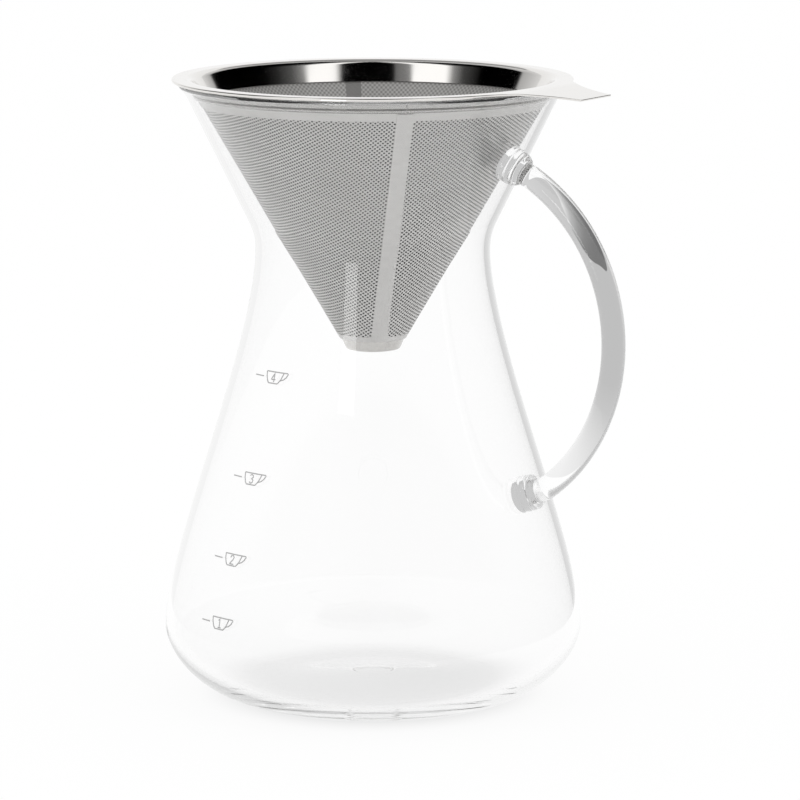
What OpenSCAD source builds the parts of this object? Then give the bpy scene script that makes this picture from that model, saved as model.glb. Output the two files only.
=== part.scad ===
// Pour-over coffee server: an hourglass glass carafe with a welded rod handle
// and a lift-out double-layer steel cone filter. Millimetres, +Z up.
// The origin is the centre of the base on the table, and the handle points to +X.

/* [Glass body] */
// Outside diameter at the belly, the widest place
belly_d = 132.4; // [120:0.2:146]
// Height of the belly above the table
belly_h = 22.7; // [18:0.1:30]
// Diameter of the flat ring that the glass stands on
base_d = 80.2; // [70:0.2:94]
// Width of that flat ring
base_ring_w = 4; // [2:0.5:8]
// Outside diameter of the waist
waist_d = 73.9; // [68:0.1:84]
// Height of the waist above the table
waist_h = 142.3; // [130:0.1:150]
// Radius of the bend from the waist into the funnel
waist_bend_r = 20.2; // [12:0.2:28]
// Half angle of the funnel mouth
funnel_angle = 25.9; // [22:0.1:28]
// Height of the glass, to the top of its lip
glass_h = 195.5; // [186:0.1:206]
// Height of the flared part of the lip
lip_flare_h = 4.4; // [2:0.2:7]
// Radius of the bend that flares the lip
lip_bend_r = 18; // [14:0.5:30]
// Thickness of the glass wall
wall_t = 2; // [1.4:0.1:2.4]
// Thickness of the glass floor
floor_t = 3.4; // [2.4:0.1:5]
// Rise of the floor from its edge to its middle
push_up_h = 3; // [1:0.1:5]
// Diameter of the mould mark under the middle of the floor
mould_mark_d = 12.5; // [8:0.5:20]
// Depth of the mould mark
mould_mark_h = 0.8; // [0.3:0.1:1.4]

/* [Handle] */
// Diameter of the glass rod
rod_d = 7.4; // [6:0.1:9]
// Drop of the upper pad's middle below the top of the glass lip
upper_foot_drop = 22.8; // [17:0.2:29]
// Rise of the lower pad's middle above the belly
lower_foot_rise = 46.5; // [38:0.1:54]
// Length of the upper foot, from the wall to the middle of the rod's end
upper_foot_l = 10.6; // [9:0.05:13]
// Length of the lower foot, from the wall to the middle of the rod's end
lower_foot_l = 8.8; // [8:0.05:11]
// How far the rod bows out from the straight line between its ends
handle_bow = 26; // [20:0.1:31]
// Diameter of the pads that are welded to the wall
pad_d = 11.8; // [10:0.2:15]
// Height of a pad's round edge
pad_edge_h = 3.9; // [2.6:0.1:4.6]
// Diameter of the neck between a pad and the rod
neck_d = 6.2; // [5:0.1:7]

/* [Filter collar] */
// Thickness of the collar's sheet
collar_t = 0.6; // [0.5:0.05:0.8]
// How far the rim reaches past the glass lip
rim_overhang = 2.3; // [2:0.1:5]
// Radius of the rolled edge of the rim
rim_roll_r = 0.5; // [0.45:0.05:0.9]
// Height of the collar, from the bottom of its skirt to the rim
collar_h = 6.7; // [5.5:0.1:10]
// Radius of the bend between the skirt and the rim, under the sheet
collar_bend_r = 2.4; // [1.4:0.1:2.8]
// How far the thumb tab reaches past the rim
tab_reach = 17.5; // [12:0.5:26]
// Width of the thumb tab at its end
tab_w = 16.6; // [12:0.2:24]
// Radius of the flared sides of the tab
tab_flare_r = 34; // [26:0.5:42]
// Slope of the tab below the level of the rim
tab_slope = 5.5; // [0:0.5:10]
// Gap between the rim and the glass lip that it rests on
seat_gap = 0.3; // [0.2:0.05:0.6]

/* [Filter cone] */
// Depth of the filter, from the rim to the bottom of its tip
filter_depth = 85.8; // [76:0.2:92]
// Outside diameter of the perforated cone at its lower end
tip_d = 21; // [16:0.5:28]
// Thickness of the perforated sheet
perforated_t = 0.4; // [0.3:0.05:0.5]
// Thickness of the fine mesh
mesh_t = 0.3; // [0.2:0.05:0.4]
// Thickness of the crimp band
band_t = 0.5; // [0.4:0.05:0.6]
// Drop of the crimp band's lower edge below the rim
band_drop = 4.8; // [4.2:0.1:5.6]
// Drop of the upper edges of both cones and of the band below the rim
stack_drop = 2.1; // [1.9:0.1:2.6]
// Level gap between the crimp band and the glass
filter_gap = 0.5; // [0.35:0.05:1.2]
// Width of the plain lap seam of the perforated cone
seam_w = 5.1; // [3:0.1:8]
// Direction of that seam about the axis, from the handle
seam_angle = -47.3; // [-180:0.1:180]
// Width of the butt joint in the crimp band
band_joint_w = 0.4; // [0.2:0.1:1]
// Height of the tip cap below the perforated cone
cap_h = 3.5; // [2:0.1:6]
// Diameter of the tip cap's flat bottom, over its rounded edge
cap_bottom_d = 17.6; // [13:0.2:19]
// Radius of the tip cap's rounded edge
cap_edge_r = 0.8; // [0.6:0.1:1.4]
// Thickness of the tip cap
cap_t = 0.5; // [0.4:0.05:0.6]
// How far the tip cap laps into the cone
cap_lap = 2; // [1:0.1:4]

/* [Hidden] */
$fn = 96;

// One overrun serves all cuts
overrun = 1;
// Number of steps along each curve of the glass outline
shoulder_steps = 12;
side_steps = 20;
bend_steps = 6;
floor_steps = 8;
round_steps = 8;

// Handle lengths of the curves, as shares of the run that each one spans
shoulder_out_share = 0.475;
shoulder_up_share = 0.475;
side_low_share = 0.185;
side_high_share = 0.234;
// Places of the tab's root and of its flares inside the rim, as shares of the roll's radius
tab_root_share = 1.6;
flare_root_share = 1.3;
// Depth of the seam's lap, its hold on the sheet included, as a share of the sheet's thickness
lap_depth_share = 1.5;

belly_r = belly_d / 2;
base_r = base_d / 2;
ring_in_r = base_r - base_ring_w;
waist_r = waist_d / 2;
mark_r = mould_mark_d / 2;
rod_r = rod_d / 2;
pad_r = pad_d / 2;
neck_r = neck_d / 2;
tip_r = tip_d / 2;

// A cubic curve, its direction, and a point set in from it by a thickness
function curve(p, t) =
    pow(1 - t, 3) * p[0] + 3 * pow(1 - t, 2) * t * p[1] + 3 * (1 - t) * t * t * p[2] + pow(t, 3) * p[3];
function curve_run(p, t) =
    pow(1 - t, 2) * (p[1] - p[0]) + 2 * (1 - t) * t * (p[2] - p[1]) + t * t * (p[3] - p[2]);
function set_in(at, run, by) = at + by * [-run[1], run[0]] / norm(run);
function reversed(list) = [for (i = [len(list) - 1:-1:0]) list[i]];
function arc(centre, r, from, to, steps) =
    [for (i = [0:steps]) let (a = from + (to - from) * i / steps) centre + r * [cos(a), sin(a)]];

// The outline of the glass is two curves, a bend, a straight funnel and a flared lip
shoulder = [
    [base_r, 0],
    [base_r + shoulder_out_share * (belly_r - base_r), 0],
    [belly_r, belly_h * (1 - shoulder_up_share)],
    [belly_r, belly_h]
];
side_h = waist_h - belly_h;
side = [
    [belly_r, belly_h],
    [belly_r, belly_h + side_low_share * side_h],
    [waist_r, waist_h - side_high_share * side_h],
    [waist_r, waist_h]
];
waist_centre = [waist_r + waist_bend_r, waist_h];
funnel_start = waist_centre + waist_bend_r * [-cos(funnel_angle), sin(funnel_angle)];
lip_angle = asin(sin(funnel_angle) + lip_flare_h / lip_bend_r);
lip_end_z = glass_h - wall_t / 2 * (1 + sin(lip_angle));
lip_start_z = lip_end_z - lip_flare_h;
function funnel_out(z) = funnel_start[0] + (z - funnel_start[1]) * tan(funnel_angle);
function funnel_in(z) = funnel_out(z) - wall_t / cos(funnel_angle);
lip_start = [funnel_out(lip_start_z), lip_start_z];
lip_centre = lip_start + lip_bend_r * [cos(funnel_angle), -sin(funnel_angle)];

// The wall thickens from the belly down to the floor
function shoulder_t(t) = wall_t + (floor_t - wall_t) * pow(1 - t, 2);
function glass_line(inside) = concat(
    [for (i = [0:shoulder_steps]) let (t = i / shoulder_steps)
        set_in(curve(shoulder, t), curve_run(shoulder, t), inside ? shoulder_t(t) : 0)],
    [for (i = [1:side_steps]) let (t = i / side_steps)
        set_in(curve(side, t), curve_run(side, t), inside ? wall_t : 0)],
    [for (i = [1:bend_steps]) let (a = 180 - funnel_angle * i / bend_steps)
        waist_centre + (waist_bend_r + (inside ? wall_t : 0)) * [cos(a), sin(a)]],
    arc(lip_centre, lip_bend_r + (inside ? wall_t : 0), 180 - funnel_angle, 180 - lip_angle, bend_steps)
);
outer_line = glass_line(false);
inner_line = glass_line(true);
mouth_r = outer_line[len(outer_line) - 1][0];
lip_round_centre = (outer_line[len(outer_line) - 1] + inner_line[len(inner_line) - 1]) / 2;
lip_round = arc(lip_round_centre, wall_t / 2, -lip_angle, 180 - lip_angle, round_steps);

// A smooth rise from the edge of the floor to its middle
function rise(r, edge_r) = push_up_h * (1 + cos(180 * r / edge_r)) / 2;
floor_top = [for (i = [floor_steps - 1:-1:0]) let (r = base_r * i / floor_steps)
    [r, floor_t + rise(r, base_r)]];
floor_under = [for (i = [0:floor_steps]) let (r = mark_r + (ring_in_r - mark_r) * i / floor_steps)
    [r, rise(r, ring_in_r)]];
mark_top_z = rise(mark_r, ring_in_r) + mould_mark_h;

// A place on the wall at a height, and the direction straight out from the wall there
function wall_at(z, line) =
    [for (i = [0:len(line) - 2]) if (line[i][1] <= z && z < line[i + 1][1])
        let (run = line[i + 1] - line[i])
        [line[i] + run * (z - line[i][1]) / run[1], [run[1], -run[0]] / norm(run)]][0];

// The rod is one bend between the ends of the two feet, which stand straight out from the wall
upper_spot = wall_at(glass_h - upper_foot_drop, outer_line);
lower_spot = wall_at(belly_h + lower_foot_rise, outer_line);
upper_end = upper_spot[0] + upper_foot_l * upper_spot[1];
lower_end = lower_spot[0] + lower_foot_l * lower_spot[1];
chord = upper_end - lower_end;
bow_out = [chord[1], -chord[0]] / norm(chord);
bow_tilt = atan2(bow_out[1], bow_out[0]);
half_turn = 2 * atan(2 * handle_bow / norm(chord));
handle_bend_r = norm(chord) / (2 * sin(half_turn));
bend_centre = (upper_end + lower_end) / 2 + (handle_bow - handle_bend_r) * bow_out;

// Levels of the filter, down from its rim
rim_z = glass_h + seat_gap + collar_t;
rim_r = mouth_r + rim_overhang;
skirt_z = rim_z - collar_h;
stack_z = rim_z - stack_drop;
band_z = rim_z - band_drop;
cap_z = rim_z - filter_depth;
tip_z = cap_z + cap_h;

// All layers of the filter lie on one cone, which clears the glass at the crimp band
band_out_r = funnel_in(band_z) - filter_gap;
rough_angle = atan2(band_out_r - tip_r, band_z - tip_z);
cone_angle = atan2(band_out_r - band_t / cos(rough_angle) - tip_r, band_z - tip_z);
function cone_r(z, depth) = tip_r + (z - tip_z) * tan(cone_angle) - depth / cos(cone_angle);
mesh_depth = perforated_t;
skirt_depth = perforated_t + mesh_t;

module cone_ring(low_z, high_z, depth, t) {
    rotate_extrude()
        polygon([
            [cone_r(low_z, depth + t), low_z],
            [cone_r(low_z, depth), low_z],
            [cone_r(high_z, depth), high_z],
            [cone_r(high_z, depth + t), high_z]
        ]);
}

module carafe_body() {
    color("aliceblue", 0.35)
        rotate_extrude()
            polygon(concat(
                [[0, mark_top_z], [mark_r, mark_top_z]],
                floor_under,
                outer_line,
                lip_round,
                reversed(inner_line),
                floor_top
            ));
}

module glass_envelope() {
    rotate_extrude()
        polygon(concat([[0, 0]], outer_line, [[0, lip_end_z]]));
}

module handle_rod() {
    color("aliceblue", 0.5)
        translate([bend_centre[0], 0, bend_centre[1]])
            rotate([90, 0, 0])
                rotate([0, 0, bow_tilt - half_turn])
                    rotate_extrude(angle = 2 * half_turn)
                        translate([handle_bend_r, 0])
                            circle(r = rod_r);
}

// A pad on the wall and a neck that runs into a round knuckle on the end of the rod
module handle_foot(spot, length, rod_turn) {
    seat = spot[0];
    end = seat + length * spot[1];
    lean = atan2(spot[1][0], spot[1][1]);
    fillet_r = pad_r - neck_r;
    difference() {
        union() {
            translate([seat[0], 0, seat[1]])
                rotate([0, lean, 0])
                    rotate_extrude()
                        polygon(concat(
                            [[0, -wall_t], [pad_r, -wall_t]],
                            arc([pad_r, pad_edge_h + fillet_r], fillet_r, 270, 180, round_steps),
                            [[neck_r, length], [0, length]]
                        ));
            translate([end[0], 0, end[1]])
                sphere(r = rod_r);
        }
        glass_envelope();
        translate([end[0], 0, end[1]])
            rotate([0, rod_turn, 0])
                cylinder(r = rod_d, h = rod_d);
    }
}

module upper_handle_foot() {
    color("aliceblue", 0.5)
        handle_foot(upper_spot, upper_foot_l, 180 - bow_tilt - half_turn);
}

module lower_handle_foot() {
    color("aliceblue", 0.5)
        handle_foot(lower_spot, lower_foot_l, half_turn - bow_tilt);
}

// A skirt, a bend, a level rim and a rolled edge, as one sheet
module collar_ring() {
    rim_under_z = rim_z - collar_t;
    bend_z = rim_under_z - collar_bend_r;
    bend_r = cone_r(bend_z, skirt_depth) + collar_bend_r / cos(cone_angle);
    roll_centre = [rim_r - rim_roll_r, rim_z - rim_roll_r];
    // The roll starts where its inner side meets the underside of the rim
    roll_from = 180 - asin((rim_roll_r - collar_t) / rim_roll_r);
    rotate_extrude()
        polygon(concat(
            [[cone_r(skirt_z, skirt_depth), skirt_z]],
            arc([bend_r, bend_z], collar_bend_r, 180 - cone_angle, 90, bend_steps),
            arc(roll_centre, rim_roll_r, roll_from, 450, 2 * round_steps),
            arc([bend_r, bend_z], collar_bend_r + collar_t, 90, 180 - cone_angle, bend_steps),
            [[cone_r(skirt_z, skirt_depth + collar_t), skirt_z]]
        ));
}

// The tab's plan: a root inside the roll, and flared sides that run to the square end
module tab_plan(end_x) {
    root_r = rim_r - tab_root_share * rim_roll_r;
    flare_root_r = rim_r - flare_root_share * rim_roll_r;
    flare_y = tab_w / 2 + tab_flare_r;
    flare_x = sqrt(pow(flare_root_r + tab_flare_r, 2) - pow(flare_y, 2));
    // A tab that is too short for all of the flare ends wider
    flare_end_x = min(flare_x, end_x - rim_roll_r);
    root_angle = atan2(flare_y, flare_x);
    flare_to = 360 - acos((flare_end_x - flare_x) / tab_flare_r);
    flare = arc([flare_x, flare_y], tab_flare_r, 180 + root_angle, flare_to, round_steps);
    side = concat(flare, [[end_x, flare[round_steps][1]]]);
    polygon(concat(
        arc([0, 0], root_r, -root_angle, root_angle, round_steps),
        side,
        [for (at = reversed(side)) [at[0], -at[1]]]
    ));
}

// The tab goes on level from the rim and then slopes down, at one thickness
module tab() {
    end_x = rim_r + tab_reach;
    end_z = rim_z - tab_reach * tan(tab_slope);
    wide = 2 * (tab_w + tab_flare_r);
    intersection() {
        translate([0, 0, end_z - rim_r])
            linear_extrude(height = 2 * rim_r)
                tab_plan(end_x);
        rotate([90, 0, 0])
            linear_extrude(height = wide, center = true)
                polygon([
                    [0, rim_z - collar_t],
                    [rim_r - collar_t * tan(tab_slope / 2), rim_z - collar_t],
                    [end_x + overrun, end_z - overrun * tan(tab_slope) - collar_t / cos(tab_slope)],
                    [end_x + overrun, end_z - overrun * tan(tab_slope)],
                    [rim_r, rim_z],
                    [0, rim_z]
                ]);
    }
}

module filter_collar() {
    color("gainsboro") {
        collar_ring();
        tab();
    }
}

module crimp_band() {
    color("silver")
        difference() {
            cone_ring(band_z, stack_z, -band_t, band_t);
            rotate([0, 0, seam_angle])
                translate([0, -band_joint_w / 2, band_z - overrun])
                    cube([rim_r, band_joint_w, band_drop + overrun]);
        }
}

module perforated_cone() {
    color("darkgray") {
        cone_ring(tip_z, stack_z, 0, perforated_t);
        // The lap of the seam stands proud of the sheet, up to the crimp band
        intersection() {
            cone_ring(tip_z, band_z - seat_gap, -perforated_t, lap_depth_share * perforated_t);
            rotate([0, 0, seam_angle])
                translate([0, -seam_w / 2, tip_z - overrun])
                    cube([rim_r, seam_w, filter_depth]);
        }
    }
}

module fine_mesh_liner() {
    color("gray")
        cone_ring(tip_z + cap_lap, stack_z, mesh_depth, mesh_t);
}

// A shallow cup whose upper edge laps into the end of the perforated cone
module tip_cap() {
    lap_z = tip_z + cap_lap;
    bottom_r = cap_bottom_d / 2;
    edge_centre = [bottom_r - cap_edge_r, cap_z + cap_edge_r];
    lean = atan2(cone_r(tip_z, mesh_depth) - bottom_r, cap_h - cap_edge_r);
    color("silver")
        rotate_extrude()
            polygon(concat(
                [[0, cap_z]],
                arc(edge_centre, cap_edge_r, -90, -lean, round_steps),
                [
                    [cone_r(tip_z, mesh_depth), tip_z],
                    [cone_r(lap_z, mesh_depth), lap_z],
                    [cone_r(lap_z, mesh_depth + cap_t), lap_z],
                    [cone_r(tip_z, mesh_depth + cap_t), tip_z]
                ],
                arc(edge_centre, cap_edge_r - cap_t, -lean, -90, round_steps),
                [[0, cap_z + cap_t]]
            ));
}

carafe_body();
handle_rod();
upper_handle_foot();
lower_handle_foot();
filter_collar();
crimp_band();
perforated_cone();
fine_mesh_liner();
tip_cap();
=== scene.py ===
from math import asin, atan, atan2, cos, degrees, hypot, pi, radians, sin, sqrt, tan

import bmesh
import bpy
import numpy as np
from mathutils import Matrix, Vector


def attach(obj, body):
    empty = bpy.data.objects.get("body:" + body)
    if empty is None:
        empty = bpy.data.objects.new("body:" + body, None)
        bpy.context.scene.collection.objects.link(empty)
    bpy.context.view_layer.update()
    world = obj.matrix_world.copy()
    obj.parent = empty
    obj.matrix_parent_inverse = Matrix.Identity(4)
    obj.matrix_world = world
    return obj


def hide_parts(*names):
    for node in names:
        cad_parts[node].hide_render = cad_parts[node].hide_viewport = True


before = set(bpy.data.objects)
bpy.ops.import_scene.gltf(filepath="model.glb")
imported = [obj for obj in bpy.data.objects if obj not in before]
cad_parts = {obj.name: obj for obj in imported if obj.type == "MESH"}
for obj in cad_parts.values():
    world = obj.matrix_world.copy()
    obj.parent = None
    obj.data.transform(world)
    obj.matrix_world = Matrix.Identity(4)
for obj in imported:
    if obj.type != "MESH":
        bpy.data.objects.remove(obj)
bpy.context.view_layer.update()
scene = bpy.context.scene
mm = 0.001


# sRGB hex to the linear colour that shaders take
def hexColour(text):
    parts = [int(text[i : i + 2], 16) / 255 for i in (1, 3, 5)]
    return tuple(c / 12.92 if c <= 0.04045 else ((c + 0.055) / 1.055) ** 2.4 for c in parts) + (1.0,)


# one node with its settings and its links or plain values. A node given as a value links its first output
def addNode(tree, kind, inputs=None, **settings):
    node = tree.nodes.new(kind)
    for name, value in settings.items():
        setattr(node, name, value)
    for name, value in (inputs or {}).items():
        if isinstance(value, bpy.types.Node):
            value = value.outputs[0]
        if isinstance(value, bpy.types.NodeSocket):
            tree.links.new(value, node.inputs[name])
        else:
            node.inputs[name].default_value = value
    return node


def newMaterial(name):
    material = bpy.data.materials.new(name)
    material.use_nodes = True
    material.node_tree.nodes.clear()
    return material, material.node_tree


def newPiece(name, points, faces, material, smooth=True):
    mesh = bpy.data.meshes.new(name)
    mesh.from_pydata([tuple(p) for p in points], [], [tuple(f) for f in faces])
    mesh.materials.append(material)
    mesh.polygons.foreach_set("use_smooth", [smooth] * len(mesh.polygons))
    mesh.update()
    piece = bpy.data.objects.new(name, mesh)
    scene.collection.objects.link(piece)
    return piece


# turns a closed outline of (radius, height) about Z. Points on the axis become one pole each
def turnedMesh(outline, segments):
    points, rings = [], []
    for r, z in outline:
        if r < 1e-9:
            rings.append([len(points)])
            points.append((0.0, 0.0, z))
        else:
            rings.append(list(range(len(points), len(points) + segments)))
            for k in range(segments):
                a = 2 * pi * k / segments
                points.append((r * cos(a), r * sin(a), z))
    faces = []
    for i, low in enumerate(rings):
        high = rings[(i + 1) % len(rings)]
        if len(low) == 1 and len(high) == 1:
            continue
        for k in range(segments):
            n = (k + 1) % segments
            if len(low) == 1:
                faces.append((low[0], high[n], high[k]))
            elif len(high) == 1:
                faces.append((low[k], low[n], high[0]))
            else:
                faces.append((low[k], low[n], high[n], high[k]))
    return points, faces


def outwardNormals(piece):
    work = bmesh.new()
    work.from_mesh(piece.data)
    bmesh.ops.remove_doubles(work, verts=work.verts, dist=1e-7)
    bmesh.ops.recalc_face_normals(work, faces=work.faces)
    work.to_mesh(piece.data)
    work.free()
    piece.data.update()
    return piece


# a place in metres at a radius, a turn and a height in millimetres
def placeAt(r, a, z):
    return (r * mm * cos(a), r * mm * sin(a), z * mm)


# keeps corners sharper than this angle crisp under smooth shading
def crispEdges(piece, degrees):
    work = bmesh.new()
    work.from_mesh(piece.data)
    for edge in work.edges:
        edge.smooth = len(edge.link_faces) == 2 and edge.calc_face_angle() < radians(degrees)
    work.to_mesh(piece.data)
    work.free()
    return piece


def arcPoints(centre, radius, start, end, steps):
    angles = np.radians(np.linspace(start, end, steps + 1))
    return [(centre[0] + radius * cos(a), centre[1] + radius * sin(a)) for a in angles]


# quads between rows of n points each. A row may close on itself, and the last row on the first
def rowFaces(rows, n, ringed=True, looped=False):
    faces = []
    for i in range(rows if looped else rows - 1):
        low, high = i * n, (i + 1) % rows * n
        for k in range(n if ringed else n - 1):
            m = (k + 1) % n
            faces.append((low + k, high + k, high + m, low + m))
    return faces


print("stage: materials")
uvPerMetre = 4.0  # scale of the UV maps

# Borosilicate glass, blown and fire-polished: clear, with a cool grey edge where the wall is seen
# along its length
glassLook = dict(ior=1.473, tint="#f9f9f9", tintPerMetre=3.0, waveMm=38.0, waveDepthMm=0.012)
clearGlass, tree = newMaterial("blownBorosilicateGlass")
place = addNode(tree, "ShaderNodeTexCoord")
wave = addNode(
    tree,
    "ShaderNodeTexNoise",
    {"Vector": place.outputs["Object"], "Scale": 1 / (glassLook["waveMm"] * mm), "Detail": 1.0},
)
swell = addNode(
    tree, "ShaderNodeBump", {"Height": wave, "Strength": 1.0, "Distance": glassLook["waveDepthMm"] * mm}
)
glass = addNode(tree, "ShaderNodeBsdfPrincipled", {
    "Base Color": (1, 1, 1, 1),
    "Roughness": 0.0,
    "IOR": glassLook["ior"],
    "Transmission Weight": 1.0,
    "Normal": swell,
})
edgeTint = addNode(
    tree,
    "ShaderNodeVolumeAbsorption",
    {"Color": hexColour(glassLook["tint"]), "Density": glassLook["tintPerMetre"]},
)
addNode(tree, "ShaderNodeOutputMaterial", {"Surface": glass, "Volume": edgeTint})

# Stainless steel, spun and mirror-polished: near black and white reflections, a little duller in blotches
polishLook = dict(
    colour="#e3e1de", roughness=0.06, rougher=0.12, blotchMm=14.0, blotchLow=0.3, blotchHigh=0.7
)
polishedSteel, tree = newMaterial("mirrorPolishedStainless")
place = addNode(tree, "ShaderNodeTexCoord")
blotch = addNode(
    tree,
    "ShaderNodeTexNoise",
    {"Vector": place.outputs["Object"], "Scale": 1 / (polishLook["blotchMm"] * mm), "Detail": 3.0},
)
dull = addNode(tree, "ShaderNodeMapRange", {
    "Value": blotch,
    "From Min": polishLook["blotchLow"],
    "From Max": polishLook["blotchHigh"],
    "To Min": polishLook["roughness"],
    "To Max": polishLook["rougher"],
})
steel = addNode(tree, "ShaderNodeBsdfPrincipled", {
    "Base Color": hexColour(polishLook["colour"]),
    "Metallic": 1.0,
    "Roughness": dull,
})
addNode(tree, "ShaderNodeOutputMaterial", {"Surface": steel})

# Four materials whose tone wanders between two greys, in streaks drawn out where the stretch is small:
# Stainless sheet, cold-rolled and punched: satin grey, in long streaks along its flat pattern
# Stainless cup, deep-drawn: satin, with fine draw lines up its side
# Ceramic ink, screen-printed and fired on: thin matt grey that varies a little in cover
# Stainless strip, cold-rolled and crimped: grey like the sheet that it holds, and smoother
streakLooks = {
    "punchedStainlessSheet": dict(
        light="#d4d3d1", dark="#c4c3c1", metallic=1.0, roughness=0.34, streakMm=2.2, stretch=(1, 1 / 14, 1)
    ),
    "deepDrawnStainless": dict(
        light="#cfcdca", dark="#bdbbb8", metallic=1.0, roughness=0.22, streakMm=0.7, stretch=(1.0, 1.0, 0.06)
    ),
    "screenPrintedEnamel": dict(
        light="#b9b9b9", dark="#9c9c9c", metallic=0.0, roughness=0.55, streakMm=0.5, stretch=(1.0, 1.0, 1.0)
    ),
    "coldRolledStainlessStrip": dict(
        light="#b8b7b5", dark="#a8a7a5", metallic=1.0, roughness=0.12, streakMm=0.6, stretch=(0.05, 0.05, 1.0)
    ),
}
streaked = {}
for name, look in streakLooks.items():
    streaked[name], tree = newMaterial(name)
    if name == "punchedStainlessSheet":
        place = addNode(tree, "ShaderNodeUVMap", uv_map="UVMap")
        perMm = 1 / (mm * uvPerMetre)
    else:
        place = addNode(tree, "ShaderNodeTexCoord").outputs["Object"]
        perMm = 1 / mm
    drawn = addNode(tree, "ShaderNodeMapping", {"Vector": place, "Scale": look["stretch"]})
    streak = addNode(
        tree, "ShaderNodeTexNoise", {"Vector": drawn, "Scale": perMm / look["streakMm"], "Detail": 2.0}
    )
    tone = addNode(
        tree,
        "ShaderNodeMix",
        {"Factor": streak, 6: hexColour(look["dark"]), 7: hexColour(look["light"])},
        data_type="RGBA",
    )
    coat = addNode(
        tree,
        "ShaderNodeBsdfPrincipled",
        {"Base Color": tone.outputs[2], "Metallic": look["metallic"], "Roughness": look["roughness"]},
    )
    addNode(tree, "ShaderNodeOutputMaterial", {"Surface": coat})

# Stainless wire cloth, plain-woven and rolled: a fine chequer of wires and gaps, the gaps painted darker as
# shade, and a plain seam-welded joint. It is drawn at 1.6 mm so that it shows. Its outer face, behind the
# punched sheet, is a darker copy: painted shade
clothLook = dict(
    wireMm=1.6, jointMm=5.5, metallic=0.5, roughness=0.5, bumpMm=0.05, bumpStrength=0.6, blend=0.6
)
clothFaces = {
    "wovenStainlessCloth": dict(wire="#b8b7b5", gap="#8d8c8a", joint="#858482"),
    # a darker copy for the outer face: painted shade from the punched sheet in front of it
    "wovenStainlessClothPaintedShade": dict(wire="#5e5d5b", gap="#424140", joint="#4a4948"),
}
woven = []
for name, look in clothFaces.items():
    material, tree = newMaterial(name)
    place = addNode(tree, "ShaderNodeUVMap", uv_map="Threads")
    grid = addNode(tree, "ShaderNodeSeparateXYZ", {"Vector": place})
    perMetre = 2 * pi / (clothLook["wireMm"] * mm)
    waves = []
    for axis in "XY":
        turn = addNode(tree, "ShaderNodeMath", {0: grid.outputs[axis], 1: perMetre}, operation="MULTIPLY")
        waves.append(addNode(tree, "ShaderNodeMath", {0: turn}, operation="SINE"))
    weave = addNode(tree, "ShaderNodeMath", {0: waves[0], 1: waves[1]}, operation="MULTIPLY")
    over = addNode(
        tree,
        "ShaderNodeMapRange",
        {"Value": weave, "From Min": -clothLook["blend"], "From Max": clothLook["blend"]},
    )
    # the gaps between the wires are painted darker, as the shade seen through the openings
    threadTone = addNode(
        tree,
        "ShaderNodeMix",
        {"Factor": over, 6: hexColour(look["gap"]), 7: hexColour(look["wire"])},
        data_type="RGBA",
    )
    away = addNode(tree, "ShaderNodeMath", {0: grid.outputs["X"]}, operation="ABSOLUTE")
    onJoint = addNode(
        tree, "ShaderNodeMath", {0: away, 1: clothLook["jointMm"] / 2 * mm}, operation="LESS_THAN"
    )
    clothTone = addNode(
        tree,
        "ShaderNodeMix",
        {"Factor": onJoint, 6: threadTone.outputs[2], 7: hexColour(look["joint"])},
        data_type="RGBA",
    )
    ridge = addNode(tree, "ShaderNodeBump", {
        "Height": over,
        "Strength": clothLook["bumpStrength"],
        "Distance": clothLook["bumpMm"] * mm,
    })
    steel = addNode(tree, "ShaderNodeBsdfPrincipled", {
        "Base Color": clothTone.outputs[2],
        "Metallic": clothLook["metallic"],
        "Roughness": clothLook["roughness"],
        "Normal": ridge,
    })
    addNode(tree, "ShaderNodeOutputMaterial", {"Surface": steel})
    woven.append(material)

print("stage: carafe body")
# all sizes in millimetres
carafe = dict(
    bellyR=66.2, bellyH=22.7, baseR=40.1, baseRingW=4.0, waistR=36.95, waistH=142.3,
    waistBendR=20.2, funnelAngle=25.9, glassH=195.5, lipFlareH=4.4, lipBendR=18.0,
    wallT=2.0, floorT=3.4, pushUpH=3.0, markR=6.25, markH=0.8, shoulderShare=0.475,
    sideLowShare=0.185, sideHighShare=0.234, segments=224,
)
c = carafe
funnelTurn = radians(c["funnelAngle"])
lipAngle = degrees(asin(sin(funnelTurn) + c["lipFlareH"] / c["lipBendR"]))


def cubic(p, t):
    p = np.array(p, float)
    at = (1 - t) ** 3 * p[0] + 3 * (1 - t) ** 2 * t * p[1] + 3 * (1 - t) * t**2 * p[2] + t**3 * p[3]
    run = (1 - t) ** 2 * (p[1] - p[0]) + 2 * (1 - t) * t * (p[2] - p[1]) + t**2 * (p[3] - p[2])
    return at, np.array([-run[1], run[0]]) / np.linalg.norm(run)


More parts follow.
